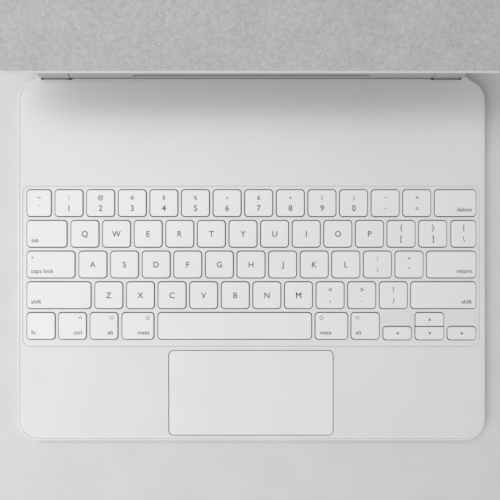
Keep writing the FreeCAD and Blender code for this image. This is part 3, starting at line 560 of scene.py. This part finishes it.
TOP_Z = 7.0
INK_Z = TOP_Z + 0.012
UPPER = {"1": "!", "2": "@", "3": "#", "4": "$", "5": "%", "6": "^", "7": "&", "8": "*", "9": "(", "0": ")"}
PAIRS = {"minus": ("_", "-"), "equals": ("+", "="), "bracket_left": ("{", "["), "bracket_right": ("}", "]"),
         "backslash": ("|", "\\"), "semicolon": (":", ";"), "quote": ('"', "'"), "comma": ("<", ","), "period": (">", "."),
         "slash": ("?", "/"), "grave": ("~", "`")}
WORDS = {"tab": ("tab", "L"), "caps_lock": ("caps lock", "L"), "shift_left": ("shift", "L"), "delete": ("delete", "R"),
         "return": ("return", "R"), "shift_right": ("shift", "R"), "function": ("fn", "L"), "control": ("ctrl", "R"),
         "option_left": ("alt", "R"), "command_left": ("meta", "R"), "command_right": ("meta", "L"), "option_right": ("alt", "L")}


def ink_key(b, name, cx, cy, w, h, left, right, low, top):
    z = INK_Z
    if len(name) == 1 and name.isalpha():
        ink_text(b, name.upper(), cx, cy - 1.7, 3.35, z=z)
        if name in "fj":
            for f in (1,):
                bar = rrect(3.4, 0.5, 0.24, cx, cy - 5.4, 4)
                lo = b.ring(rrect(3.7, 0.8, 0.38, cx, cy - 5.4, 4), TOP_Z - 0.02)
                hi = b.ring(bar, TOP_Z + 0.26)
                b.skin(lo, hi)
                b.cap(hi)
    elif name in UPPER:
        ink_text(b, name, cx, cy - 4.75, 3.45, z=z)
        ink_text(b, UPPER[name], cx, cy + 3.15, 2.35, anchor="mid", z=z)
    elif name in PAIRS:
        up, lw = PAIRS[name]
        cap = 3.1 if name not in ("minus", "equals", "grave") else 2.7
        if name == "semicolon":
            ink_text(b, up, cx, cy + 3.3, cap, anchor="mid", z=z)
            ink_text(b, lw, cx, cy - 3.3, cap, anchor="mid", z=z)
        elif name == "quote":
            ink_text(b, up, cx, cy + 3.7, cap, anchor="mid", z=z)
            ink_text(b, lw, cx, cy - 2.2, cap, anchor="mid", z=z)
        elif name in ("comma", "period"):
            ink_text(b, up, cx, cy + 3.3, cap, anchor="mid", z=z)
            ink_text(b, lw, cx, cy - 3.8, cap, z=z)
        elif name == "grave":
            ink_text(b, up, cx, cy + 3.2, cap, anchor="mid", z=z)
            ink_text(b, lw, cx, cy - 1.6, cap, anchor="mid", z=z)
        else:
            ink_text(b, up, cx, cy + 3.35, cap, anchor="mid", z=z)
            ink_text(b, lw, cx, cy - 3.3, cap, anchor="mid", z=z)
    elif name in WORDS:
        word, side = WORDS[name]
        x = left + 2.75 if side == "L" else right - 2.75
        ink_text(b, word, x, low + 3.1, 2.35, align=side, z=z, wide=1.06)
        sx = left + 3.7 if side == "L" else right - 3.7
        sy = top - 3.2
        if name == "control":
            for s in (-1, 1):
                ink_poly(b, [(sx, sy + 0.9), (sx + s * 1.3, sy - 0.5), (sx + s * 1.3 - s * 0.42, sy - 0.5), (sx, sy + 0.42)][::s], z)
        elif name.startswith("option"):
            ink_poly(b, [(sx - 1.4, sy + 0.75), (sx + 1.4, sy + 0.75), (sx + 1.4, sy + 0.45), (sx - 1.4, sy + 0.45)], z)
            ink_poly(b, [(sx - 1.4, sy - 0.45), (sx + 1.4, sy - 0.45), (sx + 1.4, sy - 0.75), (sx - 1.4, sy - 0.75)], z)
        elif name.startswith("command"):
            r1, r2 = 1.45, 1.05
            for k in range(4):
                a0, a1 = math.pi / 2 * k, math.pi / 2 * (k + 1)
                ink_poly(b, [(sx + r1 * math.cos(a0), sy + r1 * math.sin(a0)), (sx + r1 * math.cos(a1), sy + r1 * math.sin(a1)),
                             (sx + r2 * math.cos(a1), sy + r2 * math.sin(a1)), (sx + r2 * math.cos(a0), sy + r2 * math.sin(a0))], z)
        if name == "caps_lock":
            ring = rrect(0.9, 0.9, 0.44, left + 3.4, top - 4.0, 6)
            lo = b.ring(ring, z)
            b.cap(lo, mat=2)
    elif name.startswith("arrow"):
        s = 0.95
        tri = {"arrow_left": [(-s, 0), (s * 0.7, -s * 0.85), (s * 0.7, s * 0.85)],
               "arrow_right": [(s, 0), (-s * 0.7, s * 0.85), (-s * 0.7, -s * 0.85)],
               "arrow_up": [(0, s), (-s * 0.85, -s * 0.7), (s * 0.85, -s * 0.7)],
               "arrow_down": [(0, -s), (s * 0.85, s * 0.7), (-s * 0.85, s * 0.7)]}[name]
        ink_poly(b, [(cx + x, cy + y) for x, y in tri], z)


# ------------------------------------------------------------------ keycaps
def keycap(name, xa, xb, yt, yb):
    cx, cy, w, h = (xa + xb) / 2, (yt + yb) / 2, xb - xa - GAP - 0.07, yt - yb - GAP - 0.07
    shape = (cx, cy, w, h, 1.9)
    if name == "arrow_up":
        shape = (cx, cy, w, h, (0.45, 1.9, 1.9, 0.45))
    elif name == "arrow_down":
        shape = (cx, cy, w, h, (1.9, 0.45, 0.45, 1.9))
    b = Build()
    e = 0.26
    prof = [(0.55, 5.3), (0.12, 5.34), (0.0, 5.5), (0.0, 6.1), (0.0, TOP_Z - e)]
    prof += [(e - e * math.cos(math.radians(18 * i)), TOP_Z - e + e * math.sin(math.radians(18 * i))) for i in range(1, 6)]
    prof += [(e + 0.35, TOP_Z), (e + 1.2, TOP_Z)]
    rings = [b.ring(ring_of(shape, d, 7), z) for d, z in prof]
    for a, c in zip(rings, rings[1:]):
        b.skin(a, c)
    b.cap(rings[0], up=False)
    b.cap(rings[-1], up=True)
    ink_key(b, name, cx, cy, w, h, xa, xb, yb, yt)
    return b


def keycap_obj(key):
    name, xa, xb, yt, yb = key
    b = keycap(name, xa, xb, yt, yb)
    bm = b.bm
    me = bpy.data.meshes.new("cap_" + name)
    bm.normal_update()
    bm.to_mesh(me)
    bm.free()
    me.transform(Matrix.Scale(MM, 4))
    for m in ("key", "legend", "lamp"):
        me.materials.append(M[m])
    ob = bpy.data.objects.new("cap_" + name, me)
    bpy.context.scene.collection.objects.link(ob)
    return ob


first_of = {}
for key in KEYS:
    node = node_of(key[0])
    ob = keycap_obj(key)
    finish_piece(ob, node, [node] if node not in first_of else [], 40.0)
    first_of[node] = ob

# ------------------------------------------------------------------ key bezel, deck plate, trackpad
openings = []
for name, xa, xb, yt, yb in KEYS:
    if name == "arrow_down":
        continue
    if name == "arrow_up":
        yb = FOOT
    openings.append(((xa + xb) / 2, (yt + yb) / 2, xb - xa + GAP, yt - yb + GAP, 2.3))
bezel = plate((0.0, -3.7, 274.6, 96.3, 4.5), openings, 5.34, 6.54, 0.22, 0.05, hole_top=0.18, hole_low=0.05, n=10, hole_n=6,
              steps=3).obj("key_bezel_frame", ["bezel"])
finish_piece(bezel, "base", ["key_bezel"], 50.0)
well = Build()
rim_out, rim_in = (0.0, -3.7, 274.0, 95.7, 4.2), (0.05, -2.8, 271.2, 92.4, 2.0)
r0, r1 = well.ring(ring_of(rim_out, 0, 8), 2.82), well.ring(ring_of(rim_out, 0, 8), 5.4)
r2, r3 = well.ring(ring_of(rim_in, 0, 8), 5.4), well.ring(ring_of(rim_in, 0, 8), 2.82)
for a, c in ((r0, r1), (r1, r2), (r2, r3), (r3, r0)):
    well.skin(a, c)
finish_piece(well.obj("key_bezel_foot", ["bezel"]), "base")

DECK_W, DECK_D, DECK_R = 281.0, 217.2, 12.8
PAD = (-0.2, -79.8, 98.6, 50.7, 2.9)
deck = plate((0.0, 0.0, DECK_W - 2.56, DECK_D - 2.56, DECK_R - 1.28),
             [(0.0, -3.7, 274.76, 96.46, 4.58), (PAD[0], PAD[1], PAD[2] + 0.7, PAD[3] + 0.7, PAD[4] + 0.35)],
             5.4, 6.6, 0.22, 0.05, hole_top=0.22, hole_low=0.05, n=20, hole_n=12, steps=4).obj("deck_plate", ["deck"])
finish_piece(deck, "base", ["deck_top"], 50.0)
pad = plate(PAD, [], 5.3, 6.52, 0.3, 0.1, n=12, steps=5).obj("trackpad_slab", ["pad"])
finish_piece(pad, "trackpad", ["trackpad_plate"], 50.0)

# ------------------------------------------------------------------ base shell: outer skin, rim, seat, ledge, floor
shell = Build()
OUT = (0.0, 0.0, DECK_W, DECK_D, DECK_R)
prof = [(6.0, 0.0), (1.9, 0.0)]
prof += [(1.6 - 1.6 * math.sin(math.radians(10 * i)), 1.6 - 1.6 * math.cos(math.radians(10 * i))) for i in range(1, 10)]
prof += [(0.0, 3.4), (0.0, 5.9)]
prof += [(0.5 - 0.5 * math.cos(math.radians(15 * i)), 6.1 + 0.5 * math.sin(math.radians(15 * i))) for i in range(0, 7)]
prof += [(0.95, 6.6)]
prof += [(1.2 - 0.16 * math.cos(math.radians(30 * i)), 6.44 + 0.16 * math.sin(math.radians(90 - 30 * i))) for i in range(0, 4)]
prof += [(1.2, 5.42), (2.8, 5.42), (2.8, 1.0), (6.0, 1.0)]
rings = [shell.ring(ring_of(OUT, d, 24), z) for d, z in prof]
for a, c in zip(rings, rings[1:]):
    shell.skin(a, c)
shell.cap(rings[0], up=False)
shell.cap(rings[-1], up=True)
shell_ob = shell.obj("base_tray", ["shell"])
for s in (-1, 1):
    win = block((s * 117.5, 108.0, 15.6, 10.0, 0.6), 1.9, 5.1, 5)
    apply_boolean(shell_ob, win)
finish_piece(shell_ob, "base", ["base_shell"], 45.0)

# ------------------------------------------------------------------ hinge knuckles with charging socket mouth
for s, tag in ((-1, "left"), (1, "right")):
    x0, x1 = (-126.7, -108.3) if s < 0 else (108.3, 126.7)
    e0, e1 = (0.55, 0.25) if s < 0 else (0.25, 0.55)
    kn = tube_x(5.6, x0, x1, e0, e1, YH, ZH, 96).obj("hinge_knuckle_" + tag, ["alu"])
    if s < 0:
        # stadium mouth, wide in Y: drawn in plan then turned to face -X
        mouth = block((0.0, 0.0, 8.94, 3.26, 1.62), 0.0, 8.0, 12,
                      Matrix.Translation((-127.7, YH, ZH)) @ Matrix.Rotation(math.radians(90), 4, "Y") @ Matrix.Rotation(math.radians(90), 4, "Z"))
        apply_boolean(kn, mouth)
    finish_piece(kn, "base", ["hinge_knuckles"] if s < 0 else [], 40.0)
    # arm into the base: bent bracket under the knuckle
    arm = Build()
    poly = [(98.0, 2.0), (109.2, 2.0), (YH - 0.6, 3.75), (YH, 7.0), (110.4, 7.2), (109.2, 5.0), (98.0, 5.0)]
    la = [arm.bm.verts.new((s * 117.5 - 7.5, y, z)) for y, z in poly]
    lb = [arm.bm.verts.new((s * 117.5 + 7.5, y, z)) for y, z in poly]
    arm.skin(la, lb)
    arm.cap(la)
    arm.cap(lb)
    arm_ob = arm.obj("hinge_arm_" + tag, ["alu"])
    bv = arm_ob.modifiers.new("edge", "BEVEL")
    bv.width = 0.0003
    bv.segments = 3
    finish_piece(arm_ob, "base", [], 40.0)

gutter = Build()
sec = [(108.3, 4.2), (109.9, 4.4), (109.6, 5.4), (109.36, 6.05), (109.22, 6.24), (109.0, 6.32), (108.3, 6.36)]
la = [gutter.bm.verts.new((-107.7, y, z)) for y, z in sec]
lb = [gutter.bm.verts.new((107.7, y, z)) for y, z in sec]
gutter.skin(la, lb)
gutter.cap(la)
gutter.cap(lb)
finish_piece(gutter.obj("hinge_gutter_strip", ["shell"]), "base")


def cheek(s, tag):
    """Small flared web of the shell in the corner beside the end of the knuckle."""
    b = Build()
    plan = [(136.2, 104.9), (134.9, 106.2), (133.2, 107.5), (131.4, 108.7), (129.8, 109.9), (128.6, 111.0), (127.9, 111.7),
            (126.95, 111.7), (126.95, 104.9)]
    plan = [(s * x, y) for x, y in plan]
    rings = [b.ring([(x - s * d, y - d) for x, y in plan], z) for d, z in ((0.5, 2.4), (0.1, 3.2), (0.0, 5.6), (0.04, 6.0),
                                                                           (0.14, 6.3), (0.3, 6.48), (0.5, 6.56))]
    for lo, hi in zip(rings, rings[1:]):
        b.skin(lo, hi)
    b.cap(rings[0])
    b.cap(rings[-1])
    finish_piece(b.obj("hinge_cheek_" + tag, ["shell"]), "base", [], 50.0)


cheek(-1, "left")
cheek(1, "right")

# ------------------------------------------------------------------ hinge barrel (drawn in the open pose)
bar = tube_x(5.6, -108.0, 108.0, 0.25, 0.25, YH, ZH, 128).obj("hinge_bar", ["alu"])
slot_angle = 156.0
slot_m = Matrix.Translation((0, YH, ZH)) @ rot_x(slot_angle - 90.0)
apply_boolean(bar, block((0.0, 0.0, 140.0, 1.05, 0.5), 5.6 - 0.95, 8.0, 8, slot_m))
finish_piece(bar, "flap", ["hinge_barrel"], 40.0)
# saddle between bar and flap, blended into both
sad = Build()
x_edge = 107.9
sec = [(YH - 4.6, ZH), (YH - 4.6, 14.0), (YH - 5.0, 15.4), (YH - 5.6, 16.2), (YH, 16.2), (YH, ZH)]
la = [sad.bm.verts.new((-x_edge, y, z)) for y, z in sec]
lb = [sad.bm.verts.new((x_edge, y, z)) for y, z in sec]
sad.skin(la, lb)
sad.cap(la)
sad.cap(lb)
sad_ob = sad.obj("hinge_saddle", ["alu"], FLAP_M)
bv = sad_ob.modifiers.new("edge", "BEVEL")
bv.width = 0.0004
bv.segments = 3
bv.limit_method = "ANGLE"
finish_piece(sad_ob, "flap", [], 40.0)


# ------------------------------------------------------------------ flap: one padded leaf with a wrapped spine
def flap_leaf(name, inset, z_in, z_out, y_front, y_back, wrap_to, edge, mat, half_wrap, corner, rows_flat=26, cols=48, body="flap"):
    """Sheet in the shut pose between heights z_in and z_out with rounded edges all round.
    It runs from y_front to y_back flat and on round the hinge by wrap_to degrees."""
    rows = []
    half = 140.5 - inset
    # stations along the leaf: (length, half width)
    flat_len = y_back - y_front
    for i in range(rows_flat + 1):
        t = i / rows_flat
        s = flat_len * (1 - (1 - t) ** 2) if t > 0 else 0.0
        rows.append(s)
    r_mid = (z_in + z_out) / 2 - ZH
    wrap_rows = 22 if wrap_to > 0 else 0
    for i in range(1, wrap_rows + 1):
        rows.append(flat_len + math.radians(wrap_to * i / wrap_rows) * r_mid)
    total = rows[-1]

    def half_width(s):
        back = flat_len - s
        if corner and back < corner:
            u = corner - max(back, 0.0)
            return half - (corner - math.sqrt(max(corner * corner - u * u, 0.0)))
        return half

    def limit(s):
        return min(half_width(s), half) if wrap_to == 0 else max(half_width(s), half_wrap) if s < flat_len else half_wrap

    def point(s, x, z):
        if s <= flat_len or wrap_to == 0:
            return Vector((x, y_front + s, z))
        a = math.radians(90.0) - (s - flat_len) / r_mid
        r = z - ZH
        return Vector((x, YH + r * math.cos(a), ZH + r * math.sin(a)))

    b = Build()
    # cross-section loop at each station: out along the outer face, round the edge, back along the inner face
    e = edge
    steps = 5

    def section(s, shrink, z0, z1):
        hw = limit(s) - shrink
        xs = [hw * (2 * k / cols - 1) for k in range(cols + 1)]
        xs = [x for x in xs if abs(x) <= hw - e * 0.999] or [0.0]
        zm, zr = (z0 + z1) / 2, (z1 - z0) / 2
        er = min(e, zr)
        loop = [(x, z1) for x in [-(hw - er)] + xs[1:-1] + [hw - er]]
        loop += [(hw - er + er * math.sin(math.radians(90 * k / steps)), z1 - er + er * math.cos(math.radians(90 * k / steps)))
                 for k in range(1, steps + 1)]
        loop += [(hw - er + er * math.cos(math.radians(90 * k / steps)), z0 + er - er * math.sin(math.radians(90 * k / steps)))
                 for k in range(0, steps + 1)]
        loop += [(x, z0) for x in list(reversed(xs[1:-1]))]
        loop += [(-(hw - er) - er * math.sin(math.radians(90 * k / steps)), z0 + er - er * math.cos(math.radians(90 * k / steps)))
                 for k in range(0, steps + 1)]
        loop += [(-(hw - er) - er * math.cos(math.radians(90 * k / steps)), z1 - er + er * math.sin(math.radians(90 * k / steps)))
                 for k in range(0, steps)]
        return loop

    # rounded ends of the leaf: (distance in from the end, how far the section shrinks)
    stations = [(e * (1 - math.cos(math.radians(90 * k / steps))), e * (1 - math.sin(math.radians(90 * k / steps))))
                for k in range(steps + 1)]
    ends = [(s, sh) for s, sh in stations]
    mids = [s for s in rows if e < s < total - e]
    tail = [(total - s, sh) for s, sh in reversed(stations)]
    all_st = [(s, sh) for s, sh in ends] + [(s, 0.0) for s in mids] + tail
    loops = []
    for s, sh in all_st:
        loop = section(s, sh, z_in + sh, z_out - sh) if (z_out - z_in) - 2 * sh > 0.02 else section(s, sh, (z_in + z_out) / 2 - 0.01, (z_in + z_out) / 2 + 0.01)
        loops.append([b.bm.verts.new(point(s, x, z)) for x, z in loop])
    for a, c in zip(loops, loops[1:]):
        if len(a) == len(c):
            b.skin(a, c)
    b.cap(loops[0])
    b.cap(loops[-1])
    return b.obj(name, [mat], FLAP_M)


FLAP_FRONT = YP + 1.6
leaf = flap_leaf("flap_cover", 0.0, 16.05, 17.7, FLAP_FRONT, YH, 90.0, 0.55, "skin", 126.2, 14.5)
finish_piece(leaf, "flap", ["flap_skin"], 60.0)
liner = flap_leaf("flap_inner_lining", 1.4, 15.7, 16.06, FLAP_FRONT + 0.1, YH - 5.4, 0.0, 0.16, "lining", 0.0, 13.1)
finish_piece(liner, "flap", ["flap_lining"], 60.0)

# ------------------------------------------------------------------ panel: rimmed shell, lining, drawn shut then placed
LONG, MIDY = Y_LOW - Y_FREE, (Y_LOW + Y_FREE) / 2
CAM = (-118.0, Y_FREE + 22.0 + 16.5)
front_y = YP - 1.6
upper = plate((0.0, (Y_FREE + front_y) / 2, 281.0, front_y - Y_FREE, (12.0, 0.9, 0.9, 12.0)),
              [(CAM[0], CAM[1], 33.0, 33.0, 8.0)], 14.2, 17.7, 0.6, 0.02, hole_top=0.45, hole_low=0.02, n=18, hole_n=14, steps=5)
upper_ob = upper.obj("panel_upper", ["skin"], PANEL_M)
full = plate((0.0, MIDY, 281.0, LONG, 12.0), [(CAM[0], CAM[1], 33.0, 33.0, 8.0)], 13.2, 15.5, 0.8, 0.95,
             hole_top=0.02, hole_low=0.3, n=18, hole_n=14, steps=5)
panel_ob = full.obj("panel_cover", ["skin"], PANEL_M)
apply_boolean(panel_ob, upper_ob, "UNION")
apply_boolean(panel_ob, block((0.0, YP, 290.0, 3.4, 0.2), 14.6, 19.0, 3, PANEL_M))
finish_piece(panel_ob, "panel", ["panel_skin"], 40.0)
CON = (128.0, YP - 33.0)
lining = plate((0.0, MIDY, 281.0 - 3.9, LONG - 3.9, 10.1),
               [(CAM[0], CAM[1], 34.6, 34.6, 8.8), (CON[0], CON[1], 15.1, 5.7, 2.8)], 12.98, 13.4, 0.05, 0.2,
               hole_top=0.05, hole_low=0.14, n=18, hole_n=14, steps=4).obj("panel_inner_lining", ["lining"], PANEL_M)
finish_piece(lining, "panel", ["panel_lining"], 50.0)
contact = plate((CON[0], CON[1], 15.0, 5.6, 2.75), [(CON[0] + k * 4.0, CON[1], 1.7, 1.7, 0.85) for k in (-1, 0, 1)],
                12.97, 15.36, 0.1, 0.25, hole_top=0.05, hole_low=0.12, n=14, hole_n=8, steps=4).obj("contact_island", ["contact"], PANEL_M)
finish_piece(contact, "panel", ["contact_block"], 50.0)


# ------------------------------------------------------------------ soft skin over the fold, in two halves that meet on the pin
def fold_strip(name, path, thick, half, mat, matrix):
    """Thin strip along X following a path of (y, z) relative to the pin, in the flap's shut frame."""
    b = Build()
    n = len(path)
    normals = []
    for i in range(n):
        p0, p1 = path[max(i - 1, 0)], path[min(i + 1, n - 1)]
        t = Vector((0, p1[0] - p0[0], p1[1] - p0[1])).normalized()
        normals.append(Vector((0, t.z, -t.y)))
    xs = [-half + 2 * half * k / 60 for k in range(61)]
    top, low = [], []
    for x in xs:
        top.append([b.bm.verts.new(Vector((x, YP + y, ZP + z)) - nv * thick / 2) for (y, z), nv in zip(path, normals)])
        low.append([b.bm.verts.new(Vector((x, YP + y, ZP + z)) + nv * thick / 2) for (y, z), nv in zip(path, normals)])
    for k in range(len(xs) - 1):
        for i in range(n - 1):
            b.bm.faces.new((top[k][i], top[k + 1][i], top[k + 1][i + 1], top[k][i + 1])).smooth = True
            b.bm.faces.new((low[k][i], low[k][i + 1], low[k + 1][i + 1], low[k + 1][i])).smooth = True
        for i in (0, n - 1):
            b.bm.faces.new((top[k][i], low[k][i], low[k + 1][i], top[k + 1][i]) if i == 0 else (top[k][i], top[k + 1][i], low[k + 1][i], low[k][i]))
    for k in (0, len(xs) - 1):
        for i in range(n - 1):
            q = (top[k][i], top[k][i + 1], low[k][i + 1], low[k][i])
            b.bm.faces.new(q if k == 0 else tuple(reversed(q)))
    return b.obj(name, [mat], matrix)


def bez(p0, p1, p2, p3, n):
    out = []
    for i in range(n + 1):
        t = i / n
        out.append(tuple((1 - t) ** 3 * a + 3 * (1 - t) ** 2 * t * b_ + 3 * (1 - t) * t * t * c + t ** 3 * d
                         for a, b_, c, d in zip(p0, p1, p2, p3)))
    return out


fold_deg = -26.5
ca, sa = math.cos(math.radians(fold_deg)), math.sin(math.radians(fold_deg))


def on_panel(y, z):
    return (y * ca - z * sa, y * sa + z * ca)


mid = (0.42, 1.98)
flap_side = bez((1.95, 1.02), (1.5, 1.06), (0.95, 1.80), mid, 12)
panel_start = on_panel(-1.95, 1.02)
panel_ctrl = on_panel(-1.5, 1.06)
panel_side = bez(mid, (-0.05, 2.14), panel_ctrl, panel_start, 12)
for nm, path, a_body, b_body, first in (("fold_skin_flap", flap_side, "flap", "fold_link", True),
                                        ("fold_skin_panel", panel_side, "fold_link", "panel", False)):
    st = fold_strip(nm, path, 0.34, 139.6, "skin", FLAP_M)
    for p in st.data.polygons:
        p.use_smooth = True
    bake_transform(st)

# ------------------------------------------------------------------ stage
floor = Build()
v = [floor.bm.verts.new(p) for p in ((-2500, -2500, 0), (2500, -2500, 0), (2500, 2500, 0), (-2500, 2500, 0))]
floor.bm.faces.new(v)
floor_mat, nt, bs = new_mat("floor_pale")
nt.links.new(ramp(nt, noise(nt, coords(nt), 40.0, 4.0), [(0.3, (0.66, 0.66, 0.66)), (0.7, (0.69, 0.69, 0.69))]), bs.inputs["Base Color"])
bs.inputs["Roughness"].default_value = 0.85
floor_ob = floor.obj("floor", [floor_mat])

world = bpy.data.worlds.new("studio")
bpy.context.scene.world = world
world.use_nodes = True
bg = world.node_tree.nodes["Background"]
bg.inputs["Color"].default_value = (1.0, 1.0, 1.0, 1)
bg.inputs["Strength"].default_value = 0.40


def area(name, loc, target, size, power, colour=(1, 1, 1)):
    li = bpy.data.lights.new(name, "AREA")
    li.shape = "RECTANGLE"
    li.size, li.size_y = size
    li.energy = power
    li.color = colour
    ob = bpy.data.objects.new(name, li)
    bpy.context.scene.collection.objects.link(ob)
    ob.location = loc
    d = Vector(target) - Vector(loc)
    ob.rotation_euler = d.to_track_quat("-Z", "Y").to_euler()
    return ob


area("key_light", (-0.40, 0.50, 1.14), (0.0, 0.02, 0.0), (0.72, 0.72), 5.7)
area("front_fill", (-0.75, -0.38, 0.80), (0.0, 0.0, 0.0), (0.8, 0.8), 6.0)

cam_data = bpy.data.cameras.new("camera")
cam = bpy.data.objects.new("camera", cam_data)
bpy.context.scene.collection.objects.link(cam)
cam.location = (-0.84 * MM, 6.1 * MM, 306.6 * MM)
cam.rotation_euler = (0, 0, 0)
cam_data.sensor_width = 36.0
cam_data.lens = 35.94
cam_data.clip_start = 0.005
bpy.context.scene.camera = cam
sc = bpy.context.scene
sc.view_settings.view_transform = "Standard"
